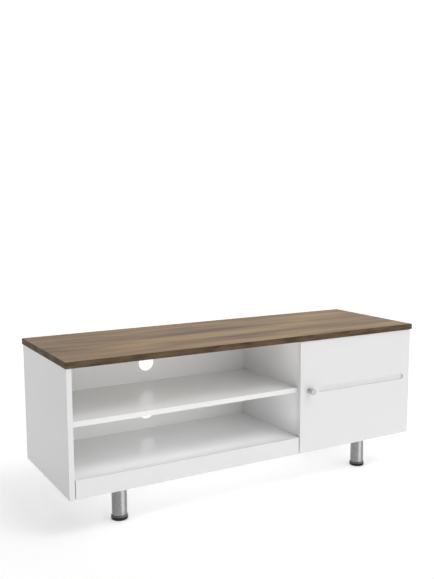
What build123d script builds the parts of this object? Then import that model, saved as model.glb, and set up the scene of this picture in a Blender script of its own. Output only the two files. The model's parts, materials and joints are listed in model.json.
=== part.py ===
from build123d import *
import os

# Low TV stand: two open bays on the left, one hinged cabinet door on the right, four tubular legs.
# Millimetres. X runs along the front, +Y to the back, +Z up. The origin is on the floor, under the
# middle of the whole object's box.

# Overall size
TOP_LENGTH = 1200.0
TOP_THICKNESS = 18.0
SIDE_OVERHANG = 3.0            # top board past each side panel
FRONT_OVERHANG = 5.0           # top board past the door's front face
BODY_DEPTH = 398.0             # door's front face to the rear edges of the side panels
CARCASS_HEIGHT = 357.0         # bottom of the side panels to the underside of the top board
LEG_DROP = 105.0               # floor to the bottom of the side panels
BOARD = 15.0                   # thickness of every white board

# Boards
RAIL_HEIGHT = 53.0             # the floor board's top face is level with the rail's top edge
RAIL_SETBACK = 1.0
RAIL_GAP = 3.0                 # open joint at both ends of the rail
SHELF_RISE = 194.0             # carcass bottom to the shelf's underside
DOOR_WIDTH = 451.0
DOOR_TOP_GAP = 2.0
DOOR_BACK_GAP = 1.0            # filled by the bumpers
BACK_PANEL_DEPTH = 336.0       # door's front face to the back panel's inner face
BACK_PANEL = 3.0
PANEL_GROOVE = 5.0             # depth of the grooves that hold the back panel
EDGE_BAND = 1.0
SOFT_EDGE = 0.8

# Cable holes in the back panel
HOLE_RADIUS = 26.0
HOLE_INSET = 361.0             # from the left side panel's inner face
HOLE_RISE_LOWER = 57.0         # above the floor board
HOLE_RISE_UPPER = 60.0         # above the shelf

# Door front
GRIP_RISE = 198.0              # knob and groove, above the door's bottom edge
KNOB_INSET = 36.5
KNOB_RADIUS = 10.0
KNOB_LENGTH = 21.0
KNOB_FLANGE = 4.5              # flange against the door, then a neck, then the head
KNOB_NECK_RADIUS = 8.3
KNOB_HEAD_START = 9.5
GROOVE_HEIGHT = 19.0
GROOVE_DEPTH = 5.0
GROOVE_START = 67.0            # from the door's left edge
GROOVE_END = 26.0              # from the door's right edge

# Concealed hinges
HINGE_RISES = {"lower": 105.0, "upper": 288.0}
CUP_EDGE = 22.5                # cup centre from the door's right edge
CUP_RADIUS = 17.4
CUP_DEPTH = 12.0
CUP_WALL = 0.8
CUP_FLANGE = 1.2               # cup's flange past the bowl
CUP_SCREW_SHIFT = 9.5
CUP_SCREW_SPACING = 45.0
CUP_EAR_WIDTH = 13.0
SCREW_MARGIN = 7.0             # metal past each screw's centre
ARM_PIN_EDGE = 22.0            # arm's pin, in from the door's right edge
ARM_PIN_DEPTH = 9.0            # arm's pin, behind the door's front face
ARM_HALF = 6.5
ARM_SHEET = 1.2
ARM_LENGTH = 46.0
ARM_RISE = 10.0
ARM_NOSE = 7.0                 # width of the arm's front end, round the pin
ARM_PIN_RADIUS = 1.5
ARM_SCREW_DEPTHS = (18.0, 36.0)    # behind the carcass front
ARM_SCREW_RADIUS = 1.95
PLATE_SETBACK = 37.0           # base plate's screws, behind the carcass front
PLATE_SCREW_SPACING = 32.0
PLATE_SHEET = 2.0
PLATE_WING_WIDTH = 14.0
SADDLE_LENGTH = 38.0
SADDLE_HEIGHT = 6.5
LINK_EYE_RADIUS = 3.0
LINK_KNEE = (5.8, -3.7)        # bend and tip of the link, from the arm's pin
LINK_TIP = (13.7, -3.0)
LINK_WIDTH = 2.1
RUNNING_GAP = 0.05

# Legs
LEG_INSET_X = 165.0
LEG_INSET_Y = 65.0
TUBE_RADIUS = 21.7
TUBE_WALL = 1.5
FOOT_RADIUS = 24.2
FOOT_HEIGHT = 13.8
FOOT_SHOULDER = 9.0            # start of the sloped shoulder
FOOT_GAP = 0.2                 # under the tube, when the foot is screwed right in
STEM_RADIUS = 4.95
STEM_LENGTH = 42.0
STEM_IN_FOOT = 8.0
LEG_PLATE_RADIUS = 31.0
LEG_PLATE = 2.0
LEG_SCREW_OFFSET = 18.4        # each plate screw, from the leg's axis in X and in Y
SPIGOT = 12.0                  # plate's ring inside the tube
INSERT_HEIGHT = 22.0

# Knock-down fittings
CAM_REACH = 24.0               # joint face to the cam's centre
CAM_RADIUS = 7.4
CAM_HEIGHT = 12.5
BOLT_THREAD = 11.0
BOLT_THREAD_RADIUS = 3.0
BOLT_SHAFT_RADIUS = 2.4
BOLT_HEAD_RADIUS = 3.3
BOLT_HEAD = 5.0
DOWEL_RADIUS = 4.0
DOWEL_LENGTH = 30.0
DOWEL_IN_PANEL = 10.0
DOWEL_SHIFT = 40.0             # dowel's place along the joint, from the cam
COVER_RADIUS = 8.8
COVER_THICKNESS = 0.8
RECESS_HALF = 0.4              # half the width of a screw head's cross recess

# Planes worked out from the sizes above
front = -(BODY_DEPTH + KNOB_LENGTH) / 2 + KNOB_LENGTH
rear = front + BODY_DEPTH
right = TOP_LENGTH / 2 - SIDE_OVERHANG
left = -right
inner_left = left + BOARD
inner_right = right - BOARD
bottom = LEG_DROP
top = LEG_DROP + CARCASS_HEIGHT
carcass_front = front + BOARD + DOOR_BACK_GAP
floor_top = bottom + RAIL_HEIGHT
floor_under = floor_top - BOARD
shelf_under = bottom + SHELF_RISE
shelf_top = shelf_under + BOARD
door_left = right - DOOR_WIDTH
door_top = top - DOOR_TOP_GAP
door_back = front + BOARD
divider_right = door_left + BOARD
back_face = front + BACK_PANEL_DEPTH
grip_z = bottom + GRIP_RISE
cup_x = right - CUP_EDGE
pin_x = right - ARM_PIN_EDGE
pin_y = front + ARM_PIN_DEPTH
web_x = inner_right - PLATE_SHEET - ARM_RISE

DOWN = (0, 0, -1)
UP = (0, 0, 1)
RIGHTWARD = (1, 0, 0)
LEFTWARD = (-1, 0, 0)
BACKWARD = (0, 1, 0)
FORWARD = (0, -1, 0)
LOW = (Align.CENTER, Align.CENTER, Align.MIN)
corners = [(a + "_" + b + "_leg", sx, sy) for a, sy in (("front", 1), ("rear", -1))
           for b, sx in (("left", 1), ("right", -1))]
nodes = {}


def block(x0, x1, y0, y1, z0, z1):
    return Pos(x0, y0, z0) * Box(x1 - x0, y1 - y0, z1 - z0, align=(Align.MIN,) * 3)


def toward(point, direction, side=None):
    """Location at point whose local Z runs along direction, and local X along side."""
    return Plane(origin=point, x_dir=side, z_dir=direction).location


def rod(radius, length, base=0.0):
    return Pos(0, 0, base) * Cylinder(radius, length, align=LOW)


def wood_screw(shank, length, head, head_height):
    """Head's seat at the origin, shank along +Z, head below with a cross recess."""
    body = rod(shank, length - shank) + rod(head, head_height, -head_height)
    body += Pos(0, 0, length - shank) * Cone(shank, 0.2, shank, align=LOW)
    rim = body.faces().sort_by(Axis.Z)[0].edges()
    body = fillet(rim, head_height * 0.45)
    recess = block(-head * 0.55, head * 0.55, -RECESS_HALF, RECESS_HALF, -head_height, -head_height * 0.4)
    return body - recess - Rot(0, 0, 90) * recess


def seats(point_list, direction, solid):
    return [toward(point, direction) * solid for point in point_list]


# Boards, before boring
def rounded(body, edge_list):
    return fillet(edge_list, SOFT_EDGE)


top_board = block(-TOP_LENGTH / 2 + EDGE_BAND, TOP_LENGTH / 2 - EDGE_BAND,
                  front - FRONT_OVERHANG + EDGE_BAND, rear - EDGE_BAND, top, top + TOP_THICKNESS)


def side_panel(x0, y0):
    body = block(x0, x0 + BOARD, y0, rear, bottom, top)
    upright = body.edges().filter_by(Axis.Z)
    return rounded(body, upright + body.edges().filter_by(Axis.Y).group_by(Axis.Z)[0])


left_panel = side_panel(left, front)
right_panel = side_panel(inner_right, carcass_front)

divider = block(door_left, divider_right, carcass_front, back_face, floor_top, top)
divider = rounded(divider, divider.edges().filter_by(Axis.Z).group_by(Axis.Y)[0])

floor_board = block(inner_left, inner_right, carcass_front, rear, floor_under, floor_top)
floor_board = rounded(floor_board, floor_board.edges().filter_by(Axis.X).group_by(Axis.Y)[-1])

shelf = block(inner_left, door_left, carcass_front, back_face, shelf_under, shelf_top)
shelf = rounded(shelf, shelf.edges().filter_by(Axis.X).group_by(Axis.Y)[0])

rail = block(inner_left + RAIL_GAP, door_left - RAIL_GAP, front + RAIL_SETBACK, carcass_front,
             bottom, floor_top)
rail = rounded(rail, rail.edges().filter_by(Axis.X).group_by(Axis.Y)[0] + rail.edges().filter_by(Axis.Z))

back_panel = block(inner_left - PANEL_GROOVE, inner_right + PANEL_GROOVE, back_face,
                   back_face + BACK_PANEL, floor_top - PANEL_GROOVE, top + PANEL_GROOVE)
for rise in (floor_top + HOLE_RISE_LOWER, shelf_top + HOLE_RISE_UPPER):
    hole = Cylinder(HOLE_RADIUS, 4 * BACK_PANEL)
    back_panel -= toward((inner_left + HOLE_INSET, back_face, rise), BACKWARD) * hole

door = block(door_left, right, front, door_back, bottom, door_top)
door = fillet(door.edges(), SOFT_EDGE)
groove_length = DOOR_WIDTH - GROOVE_START - GROOVE_END
groove_x = door_left + GROOVE_START + groove_length / 2
groove = extrude(SlotOverall(groove_length, GROOVE_HEIGHT), GROOVE_DEPTH)
door -= toward((groove_x, front, grip_z), BACKWARD, RIGHTWARD) * groove
groove_rim = [e for e in door.edges() if abs(e.center().Y - front) < 0.01
              and abs(e.center().Z - grip_z) < GROOVE_HEIGHT and e.center().X > door_left + KNOB_INSET]
door = fillet(groove_rim, SOFT_EDGE)


# Edge strips glued round the top board
def edge_strip(x0, x1, y0, y1, along, across, outer):
    body = block(x0, x1, y0, y1, top, top + TOP_THICKNESS)
    long_edges = body.edges().filter_by(along).group_by(across)[outer]
    return fillet(long_edges, SOFT_EDGE)


half = TOP_LENGTH / 2
lip = front - FRONT_OVERHANG
nodes["top_front_edge_strip"] = edge_strip(-half, half, lip, lip + EDGE_BAND, Axis.X, Axis.Y, 0)
nodes["top_rear_edge_strip"] = edge_strip(-half, half, rear - EDGE_BAND, rear, Axis.X, Axis.Y, -1)
nodes["top_left_edge_strip"] = edge_strip(-half, -half + EDGE_BAND, lip + EDGE_BAND, rear - EDGE_BAND,
                                          Axis.Y, Axis.X, 0)
nodes["top_right_edge_strip"] = edge_strip(half - EDGE_BAND, half, lip + EDGE_BAND, rear - EDGE_BAND,
                                           Axis.Y, Axis.X, -1)

# Cam fittings. Local X runs into the board that holds the cam, local Z to the cam's open face.
mid = BOARD / 2
cam = Pos(CAM_REACH, 0, mid - CAM_HEIGHT) * rod(CAM_RADIUS, CAM_HEIGHT)
jaw = rod(BOLT_HEAD_RADIUS + 0.3, 2 * CAM_RADIUS)
cam -= toward((CAM_REACH + BOLT_HEAD_RADIUS + 0.7, 0, 0), LEFTWARD) * jaw
cam_slot = Pos(CAM_REACH, 0, mid) * Box(CAM_RADIUS * 1.3, 1.4, 3.0)
cam -= cam_slot
cam_bore = Pos(CAM_REACH, 0, mid - CAM_HEIGHT - 0.5) * rod(CAM_RADIUS + 0.1, CAM_HEIGHT + 0.6)
screwed_in = toward((-BOLT_THREAD, 0, 0), RIGHTWARD) * rod(BOLT_THREAD_RADIUS, BOLT_THREAD)
bolt = screwed_in + toward((0, 0, 0), RIGHTWARD) * rod(BOLT_SHAFT_RADIUS, CAM_REACH)
bolt += toward((CAM_REACH - BOLT_HEAD / 2, 0, 0), RIGHTWARD) * rod(BOLT_HEAD_RADIUS, BOLT_HEAD)
bolt_bore = screwed_in + toward((0, 0, 0), RIGHTWARD) * rod(BOLT_HEAD_RADIUS + 0.7, CAM_REACH)
peg = toward((-DOWEL_IN_PANEL, 0, 0), RIGHTWARD) * rod(DOWEL_RADIUS, DOWEL_LENGTH)
dowel = chamfer(peg.edges(), 1.0)
cover = Pos(CAM_REACH, 0, mid) * rod(COVER_RADIUS, COVER_THICKNESS)
cover = fillet(cover.faces().sort_by(Axis.Z)[-1].edges(), 0.5)

upright_depths = (front + 60, front + 280)
floor_depths = (front + 120, front + 290)
shelf_depths = (front + 60, front + 290)
rail_places = (left + 70, left + 370, left + 690)
shifts = (DOWEL_SHIFT, -DOWEL_SHIFT)
mid_left = left + mid
mid_right = right - mid
mid_divider = door_left + mid
mid_floor = floor_top - mid
mid_shelf = shelf_top - mid

# name of the fixed board, name of the board that holds the cam, joint point, way in, cam's face, dowel shift
joints = []
for y, shift in zip(upright_depths, shifts):
    joints.append(("top", "left", (mid_left, y, top), DOWN, RIGHTWARD, (0, shift, 0)))
    joints.append(("top", "divider", (mid_divider, y, top), DOWN, RIGHTWARD, (0, shift, 0)))
    joints.append(("top", "right", (mid_right, y, top), DOWN, LEFTWARD, (0, shift, 0)))
for y, shift in zip(floor_depths, shifts):
    joints.append(("left", "floor", (inner_left, y, mid_floor), RIGHTWARD, DOWN, (0, shift, 0)))
    joints.append(("right", "floor", (inner_right, y, mid_floor), LEFTWARD, DOWN, (0, shift, 0)))
for y, shift in zip(shelf_depths, shifts):
    joints.append(("left", "shelf", (inner_left, y, mid_shelf), RIGHTWARD, DOWN, (0, shift, 0)))
    joints.append(("divider", "shelf", (door_left, y, mid_shelf), LEFTWARD, DOWN, (0, shift, 0)))
for x in rail_places:
    joints.append(("rail", "floor", (x, carcass_front, mid_floor), BACKWARD, DOWN, (DOWEL_SHIFT, 0, 0)))

boards = {"top": top_board, "left": left_panel, "right": right_panel, "divider": divider,
          "floor": floor_board, "shelf": shelf, "rail": rail}
cams = []
bolts = []
dowels = []
covers = []
for fixed, holder, point, way_in, face, shift in joints:
    place = toward(point, face, way_in)
    peg_place = toward(tuple(p + s for p, s in zip(point, shift)), face, way_in)
    cams.append(place * cam)
    bolts.append(place * bolt)
    dowels.append(peg_place * dowel)
    if fixed == "top":
        covers.append(place * cover)
    boards[holder] -= place * (cam_bore + bolt_bore)
    boards[fixed] -= place * bolt_bore
    boards[holder] -= peg_place * peg
    boards[fixed] -= peg_place * peg
nodes["cam_locks"] = Compound(cams)
nodes["cam_bolts"] = Compound(bolts)
nodes["wood_dowels"] = Compound(dowels)
nodes["cam_covers"] = Compound(covers)

# Screws that join boards
long_screw = wood_screw(2.5, 50.0, 4.8, 2.6)
divider_screws = seats([(mid_divider, front + y, floor_under) for y in (90, 270)], UP, long_screw)
panel_screw = wood_screw(1.5, 16.0, 3.2, 1.6)
panel_screws = seats([(mid_divider, back_face + BACK_PANEL, bottom + z) for z in (100, 205, 310)],
                     FORWARD, panel_screw)
for screw in divider_screws:
    boards["floor"] -= screw
    boards["divider"] -= screw
for screw in panel_screws:
    boards["divider"] -= screw
    back_panel -= screw
nodes["divider_screws"] = Compound(divider_screws)
nodes["back_panel_screws"] = Compound(panel_screws)

for name in ("top", "left", "right", "floor"):
    boards[name] -= block(inner_left - PANEL_GROOVE, inner_right + PANEL_GROOVE, back_face,
                          back_face + BACK_PANEL, floor_top - PANEL_GROOVE, top + PANEL_GROOVE)


# Concealed hinges: cup in the door, arm and base plate on the right panel, link between them
def hinge_cup(z):
    bowl = rod(CUP_RADIUS, CUP_DEPTH, -CUP_DEPTH)
    bowl -= rod(CUP_RADIUS - CUP_WALL, CUP_DEPTH, CUP_WALL - CUP_DEPTH)
    bowl = fillet(bowl.faces().sort_by(Axis.Z)[0].outer_wire().edges(), 1.5)
    ears = RectangleRounded(CUP_EAR_WIDTH, CUP_SCREW_SPACING + 2 * SCREW_MARGIN, 6)
    rim = Circle(CUP_RADIUS + CUP_FLANGE) + Pos(-CUP_SCREW_SHIFT, 0) * ears
    rim -= Circle(CUP_RADIUS - CUP_WALL)
    body = bowl + extrude(rim, CUP_WALL)
    return toward((cup_x, door_back, z), BACKWARD, RIGHTWARD) * body


def bar(start, end, width):
    """Round-ended strip between two points."""
    a, b = Vector(*start), Vector(*end)
    middle = (a + b) * 0.5
    turn = Vector(1, 0).get_signed_angle(b - a, Vector(0, 0, 1))
    return Pos(middle.X, middle.Y) * Rot(0, 0, turn) * SlotCenterToCenter((b - a).length, width)


def hinge_link(z):
    half_width = ARM_HALF - ARM_SHEET - 0.5
    outline = Circle(LINK_EYE_RADIUS) + bar((0, 0), LINK_KNEE, LINK_WIDTH)
    outline += bar(LINK_KNEE, LINK_TIP, LINK_WIDTH)
    outline -= Circle(ARM_PIN_RADIUS + RUNNING_GAP)
    return Pos(pin_x, pin_y, z) * extrude(outline, half_width, both=True)


def hinge_arm(z):
    back_end = carcass_front + ARM_LENGTH
    channel = block(web_x, web_x + ARM_RISE, carcass_front + 4, back_end, z - ARM_HALF, z + ARM_HALF)
    channel -= block(web_x + ARM_SHEET, inner_right, carcass_front, back_end + 1,
                     z - ARM_HALF + ARM_SHEET, z + ARM_HALF - ARM_SHEET)
    cheek = bar((pin_x, pin_y), (pin_x, carcass_front + 6), ARM_NOSE)
    cheeks = extrude(cheek, ARM_HALF, both=True) - extrude(cheek, ARM_HALF - ARM_SHEET, both=True)
    body = channel + Pos(0, 0, z) * cheeks
    body -= Pos(pin_x, pin_y, z) * Cylinder(ARM_PIN_RADIUS, 4 * ARM_HALF)
    screw_hole = rod(ARM_SCREW_RADIUS + 0.05, 2 * ARM_SHEET)
    for depth in ARM_SCREW_DEPTHS:
        body -= toward((web_x, carcass_front + depth, z), RIGHTWARD) * screw_hole
    return body


def base_plate(z):
    centre_y = carcass_front + PLATE_SETBACK
    wing_length = PLATE_SCREW_SPACING + 2 * SCREW_MARGIN + 4
    wings = Pos(centre_y, 0) * RectangleRounded(PLATE_WING_WIDTH, wing_length, 5)
    saddle_width = 2 * (ARM_HALF - ARM_SHEET) - 0.6
    saddle = Pos(centre_y - 4, 0) * RectangleRounded(SADDLE_LENGTH, saddle_width, 2)
    body = extrude(wings, PLATE_SHEET) + extrude(saddle, SADDLE_HEIGHT)
    return toward((inner_right, 0, z), LEFTWARD, BACKWARD) * body


set_screw = rod(ARM_SCREW_RADIUS, 6.0) + rod(3.2, 1.4, -1.4)
set_screw -= block(-2.4, 2.4, -RECESS_HALF, RECESS_HALF, -1.4, -0.6)
cup_screw = wood_screw(1.75, 11.0, 3.6, 1.8)
plate_screw = wood_screw(1.75, 12.0, 3.6, 1.8)
cup_screws = []
plate_screws = []
arm_screws = []
arm_pins = []
for which, rise in HINGE_RISES.items():
    z = bottom + rise
    spread = CUP_SCREW_SPACING / 2
    pair = seats([(cup_x - CUP_SCREW_SHIFT, door_back + CUP_WALL, z + s) for s in (-spread, spread)],
                 FORWARD, cup_screw)
    cup = hinge_cup(z)
    door -= toward((cup_x, door_back, z), FORWARD) * rod(CUP_RADIUS + 0.1, CUP_DEPTH + 0.1)
    for screw in pair:
        cup -= screw
        door -= screw
    cup_screws += pair
    nodes[which + "_hinge_cup"] = cup
    spread = PLATE_SCREW_SPACING / 2
    plate_screw_y = carcass_front + PLATE_SETBACK
    pair = seats([(inner_right - PLATE_SHEET, plate_screw_y, z + s) for s in (-spread, spread)],
                 RIGHTWARD, plate_screw)
    plate = base_plate(z)
    drives = seats([(web_x, carcass_front + depth, z) for depth in ARM_SCREW_DEPTHS], RIGHTWARD, set_screw)
    for screw in pair:
        plate -= screw
        boards["right"] -= screw
    for screw in drives:
        plate -= screw
    plate_screws += pair
    arm_screws += drives
    nodes[which + "_hinge_base_plate"] = plate
    nodes[which + "_hinge_arm"] = hinge_arm(z)
    nodes[which + "_hinge_link"] = hinge_link(z)
    arm_pins.append(Pos(pin_x, pin_y, z) * Cylinder(ARM_PIN_RADIUS, 2 * ARM_HALF + 0.6))
nodes["hinge_cup_screws"] = Compound(cup_screws)
nodes["hinge_plate_screws"] = Compound(plate_screws)
nodes["hinge_arm_screws"] = Compound(arm_screws)
nodes["hinge_arm_pins"] = Compound(arm_pins)

# Knob: a turned flange, neck and head, held by a screw from inside the door
knob_x = door_left + KNOB_INSET
flange = KNOB_RADIUS - 0.2
knob_outline = Polyline((0, 0), (flange, 0), (flange, KNOB_FLANGE), (KNOB_NECK_RADIUS, KNOB_FLANGE + 1.5),
                        (KNOB_NECK_RADIUS, KNOB_HEAD_START - 1.5), (KNOB_RADIUS, KNOB_HEAD_START),
                        (KNOB_RADIUS, KNOB_LENGTH), (0, KNOB_LENGTH), close=True)
knob = revolve(Plane.XZ * make_face(knob_outline), Axis.Z)
knob = fillet(knob.faces().sort_by(Axis.Z)[-1].edges(), 1.0)
knob = toward((knob_x, front, grip_z), FORWARD) * knob
knob_screw = rod(2.0, BOARD + 9.0) + rod(4.0, 2.4, -2.4)
knob_screw = fillet(knob_screw.faces().sort_by(Axis.Z)[0].edges(), 1.0)
cross = block(-2.2, 2.2, -RECESS_HALF, RECESS_HALF, -2.4, -1.0)
knob_screw = knob_screw - cross - Rot(0, 0, 90) * cross
knob_screw = toward((knob_x, door_back, grip_z), FORWARD) * knob_screw
nodes["knob"] = knob - knob_screw
nodes["knob_screw"] = knob_screw
door -= knob_screw

# Bumper pads on the door's back, against the divider
pad = fillet(rod(4.0, DOOR_BACK_GAP - 0.05).faces().sort_by(Axis.Z)[-1].edges(), 0.4)
nodes["door_bumpers"] = Compound(seats([(mid_divider, door_back, bottom + z) for z in (75, 330)],
                                       BACKWARD, pad))
nodes["door_panel"] = door


# Legs: flange plate, tube, threaded insert, and a foot that screws in and out
leg_screw = wood_screw(1.75, 12.0, 3.4, 1.8)
tube_top = floor_under - LEG_PLATE
tube_bottom = FOOT_HEIGHT + FOOT_GAP
tube_bore = TUBE_RADIUS - TUBE_WALL
leg_screws = []
for name, side, depth in corners:
    x = side * (left + LEG_INSET_X)
    y = front + LEG_INSET_Y if depth > 0 else rear - LEG_INSET_Y
    place = Pos(x, y, 0)
    ring = rod(tube_bore - 0.05, SPIGOT) - rod(tube_bore - 2.0, SPIGOT)
    plate = rod(LEG_PLATE_RADIUS, LEG_PLATE, tube_top) + Pos(0, 0, tube_top - SPIGOT) * ring
    plate = fillet(plate.edges().filter_by(GeomType.CIRCLE).group_by(SortBy.RADIUS)[-1][0], 0.8)
    plate = place * plate
    tube = rod(TUBE_RADIUS, tube_top - tube_bottom, tube_bottom)
    tube -= rod(tube_bore, tube_top - tube_bottom, tube_bottom)
    insert = rod(tube_bore - 0.05, INSERT_HEIGHT, tube_bottom)
    insert -= rod(STEM_RADIUS + RUNNING_GAP, INSERT_HEIGHT, tube_bottom)
    stem = rod(STEM_RADIUS, STEM_LENGTH, FOOT_HEIGHT - STEM_IN_FOOT)
    stem = chamfer(stem.edges().sort_by(Axis.Z)[-1], 1.0)
    foot_outline = Polyline((0, 0), (FOOT_RADIUS - 1.2, 0), (FOOT_RADIUS, 1.2), (FOOT_RADIUS, FOOT_SHOULDER),
                            (TUBE_RADIUS + 0.6, FOOT_HEIGHT), (0, FOOT_HEIGHT), close=True)
    foot = revolve(Plane.XZ * make_face(foot_outline), Axis.Z) - stem
    heads = [(x + dx, y + dy, tube_top) for dx in (-LEG_SCREW_OFFSET, LEG_SCREW_OFFSET)
             for dy in (-LEG_SCREW_OFFSET, LEG_SCREW_OFFSET)]
    for screw in seats(heads, UP, leg_screw):
        plate -= screw
        boards["floor"] -= screw
        leg_screws.append(screw)
    nodes[name + "_plate"] = plate
    nodes[name + "_tube"] = place * tube
    nodes[name + "_insert"] = place * insert
    nodes[name + "_foot"] = place * foot
    nodes[name + "_stem"] = place * stem
nodes["leg_plate_screws"] = Compound(leg_screws)

nodes["top_board"] = boards["top"]
nodes["left_side_panel"] = boards["left"]
nodes["right_side_panel"] = boards["right"]
nodes["divider_panel"] = boards["divider"]
nodes["floor_board"] = boards["floor"]
nodes["shelf_board"] = boards["shelf"]
nodes["front_rail"] = boards["rail"]
nodes["back_panel"] = back_panel

os.makedirs("parts", exist_ok=True)
for name, shape in nodes.items():
    export_step(shape, "parts/" + name + ".step")
print(len(nodes), "nodes")
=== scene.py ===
import json
import math

import bpy
from mathutils import Euler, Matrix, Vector


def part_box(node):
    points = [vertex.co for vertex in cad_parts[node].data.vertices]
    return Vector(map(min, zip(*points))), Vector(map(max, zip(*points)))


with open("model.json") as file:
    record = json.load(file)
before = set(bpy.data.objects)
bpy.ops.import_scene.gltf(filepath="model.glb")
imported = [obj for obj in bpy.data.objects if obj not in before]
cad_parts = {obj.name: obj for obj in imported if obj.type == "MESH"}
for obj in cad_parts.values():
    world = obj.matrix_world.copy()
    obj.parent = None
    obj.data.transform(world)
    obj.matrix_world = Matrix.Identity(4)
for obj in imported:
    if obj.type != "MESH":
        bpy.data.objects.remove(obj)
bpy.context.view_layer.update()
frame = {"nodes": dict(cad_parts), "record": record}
nodes = frame["nodes"]


# Camera: the eye's place and aim, in metres and degrees
CAMERA_PLACE = (-1.205, -2.0495, 0.894)
CAMERA_PITCH = -7.74
CAMERA_YAW = -30.78
CAMERA_LENS = 47.2
CAMERA_SHIFT = (-0.0278, 0.0226)

# Colours, linear
WHITE = (0.86, 0.86, 0.86)
BACK_WHITE = (0.85, 0.845, 0.835)
FLOOR_TONES = ((0.90, 0.90, 0.90), (0.93, 0.93, 0.93))
FLOOR_GLOW = 0.37

# Where the top board's print starts, in its own stretched coordinates
TOP_GRAIN_SHIFT = (9.0, 2.0, 0.0)

# Stage and lights, in metres and watts
FLOOR_HALF = 60.0
FLOOR_DROP = 0.0005                 # the floor lies this far under the feet
ROOM_LEVEL = 0.05
# Soft light panels: a direction, how flat the panel is, the cosines where its soft edge starts and
# ends, and its level
PANELS = (
    ((0.35, -0.50, 1.00), 1.0, 0.955, 0.985, 3.30),    # small key lamp, in front and high above
    ((0.30, -0.45, 1.00), 1.0, 0.62, 0.94, 0.60),      # wide soft panel around it
    ((0.30, -0.97, 0.15), 2.5, 0.70, 0.97, 1.80),      # low softbox in front
    ((0.55, 0.83, 0.0), 1.0, 0.55, 0.85, 0.97),        # backdrop
    ((0.35, 0.20, 1.0), 1.0, 0.62, 0.92, 0.50),        # ceiling panel
)
LEG_GLEAMS = (("front_left_leg_tube", 25.0), ("front_right_leg_tube", 7.0))    # degrees round the leg
STRIP_REACH = 0.06
STRIP_SIZE = (0.048, 0.10)
STRIP_POWER = 0.019
MOUTH_GAP = 0.004
CARD_INSET = 0.038
FILL_POWER = {"lower": 0.20, "upper": 0.155}
FILL_AIM = (0.0, 1.0, 0.12)


# ---------------------------------------------------------------- material helpers
class Net:
    """A material's node tree, with short calls to add and join nodes."""

    def __init__(self, name):
        self.material = bpy.data.materials.new(name)
        self.material.use_nodes = True
        self.tree = self.material.node_tree
        self.shader = self.tree.nodes["Principled BSDF"]

    def add(self, kind, **values):
        node = self.tree.nodes.new(kind)
        for key, value in values.items():
            setattr(node, key, value)
        return node

    def join(self, source, target):
        self.tree.links.new(source, target)

    def place(self, scale, shift=(0, 0, 0)):
        """Object coordinates, stretched by scale along each axis, then shifted."""
        source = self.add("ShaderNodeTexCoord").outputs["Object"]
        mapping = self.add("ShaderNodeMapping")
        mapping.inputs["Scale"].default_value = scale
        mapping.inputs["Location"].default_value = shift
        self.join(source, mapping.inputs["Vector"])
        return mapping.outputs["Vector"]

    def noise(self, scale, stretch=(1, 1, 1), detail=4.0, roughness=0.5, distortion=0.0, shift=(0, 0, 0)):
        node = self.add("ShaderNodeTexNoise")
        node.inputs["Scale"].default_value = scale
        node.inputs["Detail"].default_value = detail
        node.inputs["Roughness"].default_value = roughness
        node.inputs["Distortion"].default_value = distortion
        self.join(self.place(stretch, shift), node.inputs["Vector"])
        return node.outputs["Fac"]

    def ramp(self, factor, stops):
        node = self.add("ShaderNodeValToRGB")
        ramp = node.color_ramp
        while len(ramp.elements) < len(stops):
            ramp.elements.new(0.5)
        for element, (position, colour) in zip(ramp.elements, stops):
            element.position = position
            element.color = tuple(colour) + (1.0,)
        self.join(factor, node.inputs["Fac"])
        return node.outputs["Color"]

    def span(self, factor, low, high, start=0.3, end=0.7):
        node = self.add("ShaderNodeMapRange")
        for key, value in (("From Min", start), ("From Max", end), ("To Min", low), ("To Max", high)):
            node.inputs[key].default_value = value
        self.join(factor, node.inputs["Value"])
        return node.outputs["Result"]

    def mix(self, blend, factor, first, second):
        node = self.add("ShaderNodeMix", data_type="RGBA", blend_type=blend)
        if isinstance(factor, float):
            node.inputs["Factor"].default_value = factor
        else:
            self.join(factor, node.inputs["Factor"])
        self.join(first, node.inputs["A"])
        self.join(second, node.inputs["B"])
        return node.outputs["Result"]

    def bump(self, height, strength, distance):
        node = self.add("ShaderNodeBump")
        node.inputs["Strength"].default_value = strength
        node.inputs["Distance"].default_value = distance
        self.join(height, node.inputs["Height"])
        self.join(node.outputs["Normal"], self.shader.inputs["Normal"])

    def set(self, **values):
        for key, value in values.items():
            self.shader.inputs[key.replace("_", " ")].default_value = value

    def out(self, **links):
        for key, source in links.items():
            self.join(source, self.shader.inputs[key.replace("_", " ")])


def shade(colour, amount):
    return tuple(c * amount for c in colour)


def upward(net, start, end):
    """0 where a face is steeper than start, rising to 1 where its normal's upward part passes end."""
    parts = net.add("ShaderNodeSeparateXYZ")
    net.join(net.add("ShaderNodeNewGeometry").outputs["Normal"], parts.inputs["Vector"])
    return net.span(parts.outputs["Z"], 0.0, 1.0, start, end)


def melamine(name, colour, rough):
    """White laminate: a soft sheen, with the faintest cloudiness and pebble."""
    net = Net(name)
    cloud = net.noise(2.5, detail=1.0)
    net.out(Base_Color=net.ramp(cloud, [(0.2, shade(colour, 0.994)), (0.8, colour)]))
    net.out(Roughness=net.span(cloud, rough - 0.01, rough + 0.01, 0.2, 0.8))
    net.bump(net.noise(260.0, detail=1.0), 0.02, 0.0001)
    net.set(IOR=1.5)
    return net.material


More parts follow.
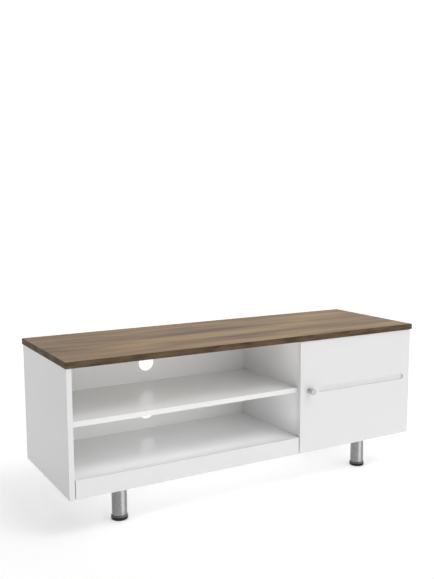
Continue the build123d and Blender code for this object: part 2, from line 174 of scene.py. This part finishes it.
def walnut(name, dark, middle, light, rough, along=(1.0, 8.0, 8.0), underside=None, shift=(0, 0, 0)):
    """Printed wood with its grain along X: slow colour bands, streaks and pores, and a plain underside."""
    net = Net(name)
    across = tuple(a * b for a, b in zip(along, (1.0, 4.5, 4.5)))
    bands = net.noise(1.7, along, detail=4.0, roughness=0.55, distortion=0.3, shift=shift)
    streaks = net.noise(5.0, across, detail=7.0, roughness=0.68, distortion=0.3)
    pores = net.noise(26.0, across, detail=3.0, roughness=0.6)
    wide = net.ramp(bands, [(0.34, dark), (0.49, middle), (0.64, light)])
    fine = net.ramp(streaks, [(0.34, (0.58, 0.57, 0.56)), (0.50, (0.96, 0.96, 0.96)),
                              (0.66, (1.22, 1.20, 1.16))])
    dots = net.ramp(pores, [(0.34, (0.55, 0.54, 0.53)), (0.46, (1.0, 1.0, 1.0))])
    colour = net.mix("MULTIPLY", 0.45, net.mix("MULTIPLY", 0.6, wide, fine), dots)
    if underside:
        backer = net.ramp(net.noise(5.0), [(0.3, shade(underside, 0.97)), (0.7, underside)])
        colour = net.mix("MIX", upward(net, -0.9, -0.7), backer, colour)
    net.out(Base_Color=colour)
    net.out(Roughness=net.span(streaks, rough - 0.05, rough + 0.07))
    net.bump(pores, 0.12, 0.0003)
    net.set(IOR=1.38, Specular_IOR_Level=0.35)
    return net.material


def metal(name, colour, rough, spread=0.04, stretch=(1, 1, 1), scale=400.0, lift=0.03):
    """Metal with faint wear in its tone and gloss."""
    net = Net(name)
    wear = net.noise(scale, stretch, detail=3.0)
    net.out(Base_Color=net.ramp(wear, [(0.3, shade(colour, 0.94)), (0.7, colour)]))
    net.out(Roughness=net.span(wear, max(rough - spread, 0.02), rough + spread))
    net.bump(wear, lift, 0.0002)
    net.set(Metallic=1.0)
    return net.material


def plastic(name, colour, rough, scale=900.0, lift=0.08, shoulder_highlight=None, ior=1.5):
    """Moulded plastic; the optional second grey is a painted highlight on its upward-sloping faces, where
    light from above falls.
    """
    net = Net(name)
    grain = net.noise(scale, detail=2.0)
    tint = net.ramp(net.noise(30.0), [(0.3, shade(colour, 0.85)), (0.7, colour)])
    if shoulder_highlight:
        # Painted highlight: a lighter grey for the upward-sloping faces, as if lit from above, blended in
        # by the faces' tilt
        painted_highlight = net.ramp(net.noise(120.0), [(0.3, shade(shoulder_highlight, 0.85)), (0.7, shoulder_highlight)])
        tint = net.mix("MIX", upward(net, 0.15, 0.35), tint, painted_highlight)
    net.out(Base_Color=tint)
    net.out(Roughness=net.span(grain, rough - 0.04, rough + 0.05))
    net.bump(grain, lift, 0.0002)
    net.set(IOR=ior)
    return net.material


materials = {
    "walnut_laminate": walnut("walnut_top", (0.160, 0.093, 0.045), (0.302, 0.186, 0.086),
                              (0.450, 0.291, 0.133), rough=0.5, underside=(0.72, 0.70, 0.67),
                              shift=TOP_GRAIN_SHIFT),
    "walnut_edge_strip": walnut("walnut_edge", (0.064, 0.039, 0.020), (0.116, 0.074, 0.038),
                                (0.150, 0.098, 0.052), along=(8.0, 12.0, 35.0), rough=0.6),
    "white_laminate": melamine("white_melamine", WHITE, 0.16),
    "white_hardboard": melamine("white_backboard", BACK_WHITE, 0.55),
    "satin_nickel": metal("satin_nickel", (0.58, 0.58, 0.58), 0.46, scale=250.0),
    # The chrome's low base colour is partly the tube's own darker metal and partly painted shade, standing
    # in for darker surroundings reflected in it
    "chrome_tube": metal("chrome", (0.27, 0.27, 0.275), 0.28, spread=0.02, stretch=(1, 1, 0.2),
                         scale=300.0, lift=0.01),
    # The foot's grey second colour is a painted highlight on its upward-sloping shoulder
    "black_plastic": plastic("black_foot", (0.007, 0.007, 0.008), 0.22, shoulder_highlight=(0.16, 0.16, 0.16),
                             ior=1.36),
    "dark_nylon": plastic("dark_insert", (0.03, 0.03, 0.03), 0.5),
    "zinc_steel": metal("zinc_plate", (0.56, 0.58, 0.62), 0.36),
    "zinc_casting": metal("zinc_casting", (0.45, 0.45, 0.47), 0.5, lift=0.12),
    "white_cap_plastic": plastic("white_cap", (0.80, 0.80, 0.79), 0.35),
    "beech": walnut("beech_dowel", (0.42, 0.27, 0.15), (0.55, 0.37, 0.22), (0.64, 0.46, 0.30), rough=0.6),
    "clear_rubber": plastic("bumper", (0.70, 0.70, 0.70), 0.3),
    "nickel_plated_steel": metal("nickel_plate", (0.63, 0.61, 0.57), 0.24),
}

for row in frame["record"]["subparts"]:
    obj = nodes[row["node"]]
    obj.data.materials.clear()
    obj.data.materials.append(materials[row["material_slot"]])

# ---------------------------------------------------------------- floor, light and camera
bpy.ops.mesh.primitive_plane_add(size=2 * FLOOR_HALF, location=(0, 0, -FLOOR_DROP))
floor = bpy.context.object
floor.name = "floor"
paving = Net("pale_floor")
paving.out(Base_Color=paving.ramp(paving.noise(0.6), [(0.3, FLOOR_TONES[0]), (0.7, FLOOR_TONES[1])]))
paving.set(Roughness=0.8, Emission_Color=(1.0, 1.0, 1.0, 1.0), Emission_Strength=FLOOR_GLOW)
floor.data.materials.append(paving.material)


def studio(base, panels):
    """A world of one dim level, with soft light panels added to it."""
    world = bpy.data.worlds.new("studio")
    world.use_nodes = True
    tree = world.node_tree
    direction = tree.nodes.new("ShaderNodeTexCoord").outputs["Generated"]
    total = None
    for toward, flat, outer, inner, level in panels:
        squeeze = tree.nodes.new("ShaderNodeVectorMath")
        squeeze.operation = "MULTIPLY"
        squeeze.inputs[1].default_value = (1.0, 1.0, flat)
        unit = tree.nodes.new("ShaderNodeVectorMath")
        unit.operation = "NORMALIZE"
        dot = tree.nodes.new("ShaderNodeVectorMath")
        dot.operation = "DOT_PRODUCT"
        dot.inputs[1].default_value = Vector(toward).normalized()
        tree.links.new(direction, squeeze.inputs[0])
        tree.links.new(squeeze.outputs["Vector"], unit.inputs[0])
        tree.links.new(unit.outputs["Vector"], dot.inputs[0])
        glow = tree.nodes.new("ShaderNodeMapRange")
        glow.interpolation_type = "SMOOTHSTEP"
        for key, value in (("From Min", outer), ("From Max", inner), ("To Min", 0.0), ("To Max", level)):
            glow.inputs[key].default_value = value
        tree.links.new(dot.outputs["Value"], glow.inputs["Value"])
        add = tree.nodes.new("ShaderNodeMath")
        add.operation = "ADD"
        add.inputs[1].default_value = base
        if total:
            tree.links.new(total, add.inputs[1])
        tree.links.new(glow.outputs["Result"], add.inputs[0])
        total = add.outputs["Value"]
    tree.links.new(total, tree.nodes["Background"].inputs["Strength"])
    tree.nodes["Background"].inputs["Color"].default_value = (1.0, 1.0, 1.0, 1.0)
    return world


world = studio(ROOM_LEVEL, PANELS)


def strip(name, place, aim, size, power):
    """A tall narrow light that only shows as a gleam on metal and gloss."""
    data = bpy.data.lights.new(name, "AREA")
    data.shape = "RECTANGLE"
    data.size, data.size_y = size
    data.energy = power
    light = bpy.data.objects.new(name, data)
    light.location = place
    light.rotation_euler = (Vector(aim) - Vector(place)).to_track_quat("-Z", "Y").to_euler()
    light.visible_camera = False
    light.visible_diffuse = False
    bpy.context.scene.collection.objects.link(light)


for leg, turn in LEG_GLEAMS:
    low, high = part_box(leg)
    axis = Vector(((low.x + high.x) / 2, (low.y + high.y) / 2, STRIP_SIZE[1] / 2))
    side = Vector((math.sin(math.radians(turn)), -math.cos(math.radians(turn)), 0.0))
    strip(leg + "_gleam", axis + side * STRIP_REACH, axis, STRIP_SIZE, STRIP_POWER)

scene = bpy.context.scene
scene.world = world

# A faint fill card at the mouth of each bay, facing in and a little up
left_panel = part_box("left_side_panel")
shelf_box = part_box("shelf_board")
floor_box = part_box("floor_board")
bay_left = left_panel[1].x
bay_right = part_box("divider_panel")[0].x
for name, low, high in (("lower", floor_box[1].z, shelf_box[0].z),
                        ("upper", shelf_box[1].z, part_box("top_board")[0].z)):
    card = bpy.data.lights.new(name + "_bay_fill", "AREA")
    card.shape = "RECTANGLE"
    card.size = bay_right - bay_left - 2 * CARD_INSET
    card.size_y = high - low - 2 * CARD_INSET
    card.energy = FILL_POWER[name]
    holder = bpy.data.objects.new(card.name, card)
    holder.location = ((bay_left + bay_right) / 2, left_panel[0].y - MOUTH_GAP, (low + high) / 2)
    holder.rotation_euler = Vector(FILL_AIM).to_track_quat("-Z", "Y").to_euler()
    holder.visible_camera = False
    holder.visible_glossy = False
    scene.collection.objects.link(holder)
scene.view_settings.view_transform = "Standard"

data = bpy.data.cameras.new("camera")
data.lens = CAMERA_LENS
data.shift_x, data.shift_y = CAMERA_SHIFT
camera = bpy.data.objects.new("camera", data)
camera.location = CAMERA_PLACE
camera.rotation_euler = Euler((math.radians(90 + CAMERA_PITCH), 0, math.radians(CAMERA_YAW)))
scene.collection.objects.link(camera)
scene.camera = camera

bpy.context.view_layer.update()
